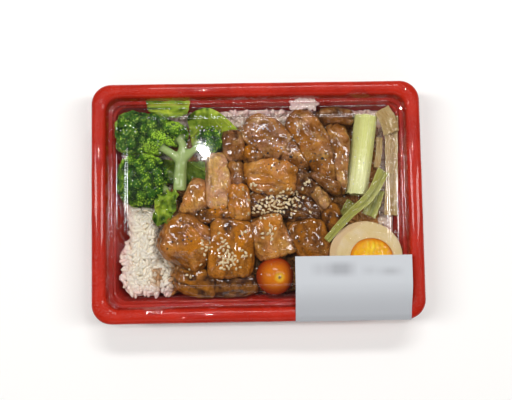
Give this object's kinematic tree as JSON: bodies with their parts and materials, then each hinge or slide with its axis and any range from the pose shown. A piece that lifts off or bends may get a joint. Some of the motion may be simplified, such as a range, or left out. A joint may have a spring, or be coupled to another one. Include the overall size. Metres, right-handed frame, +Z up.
{
  "type": "bento box meal",
  "caption": "Packed chicken and rice meal in a stepped plastic tray with a clear snap-in lid and a blank paper label taped over its front edge.",
  "frame": {"origin": "middle of the tray's flat foot, on the surface that the tray stands on", "axes": "+X along the tray's long side towards the label's end, +Y away from the label's edge, +Z up"},
  "size_m": [0.232, 0.168, 0.0432],
  "materials": {
    "tray": "glossy red moulded foam plastic, fine pebbled skin",
    "lid": "thin clear thermoformed plastic",
    "label": "coated self-adhesive paper with soft grey bars, no lettering",
    "rice": "moist cooked short-grain rice",
    "chicken": "grilled meat under a thin brown glaze",
    "broccoli": "blanched, fine buds on pale stems",
    "egg_white": "soy-stained boiled white, moist",
    "egg_yolk": "set yolk, wet surface",
    "tomato": "smooth tight skin",
    "leek_stalk": "braised, ribbed lengthwise, moist",
    "leek_skin": "translucent stained outer skin",
    "leek_leaf": "limp ribbed leaf, moist",
    "lettuce": "veined leaf, slightly translucent"
  },
  "bodies": {
    "root": {"tray": "tray", "lid": "lid", "label": "label", "rice": "rice", "rice_clump": "rice", "chicken_back_dome": "chicken", "chicken_slice_long_left": "chicken", "chicken_slice_long_right": "chicken", "chicken_back_corner": "chicken", "chicken_right_tip": "chicken", "chicken_wedge": "chicken", "chicken_curl": "chicken", "chicken_peppered": "chicken", "chicken_skin_fold": "chicken", "chicken_grain_slice": "chicken", "chicken_left_lobes": "chicken", "chicken_orange_fat": "chicken", "chicken_orange_base": "chicken", "chicken_front_round": "chicken", "chicken_sesame_slice": "chicken", "chicken_middle_slice": "chicken", "chicken_right_slice": "chicken", "chicken_knob": "chicken", "chicken_strip": "chicken", "chicken_low_left": "chicken", "chicken_low_middle": "chicken", "chicken_glazed": "chicken", "chicken_seeded": "chicken", "chicken_small": "chicken", "chicken_dark_side": "chicken", "broccoli_front": "broccoli", "broccoli_back": "broccoli", "egg_white": "egg_white", "egg_yolk": "egg_yolk", "tomato": "tomato", "leek_stalk": "leek_stalk", "leek_skin_long": "leek_skin", "leek_skin_wrap": "leek_skin", "leek_skin_side": "leek_skin", "leek_leaf_long": "leek_leaf", "leek_leaf_short": "leek_leaf", "leek_leaf_dark": "leek_leaf", "lettuce_folded": "lettuce", "lettuce_ledge": "lettuce", "lettuce_frill": "lettuce", "lettuce_bed": "lettuce"}
  },
  "joints": []
}
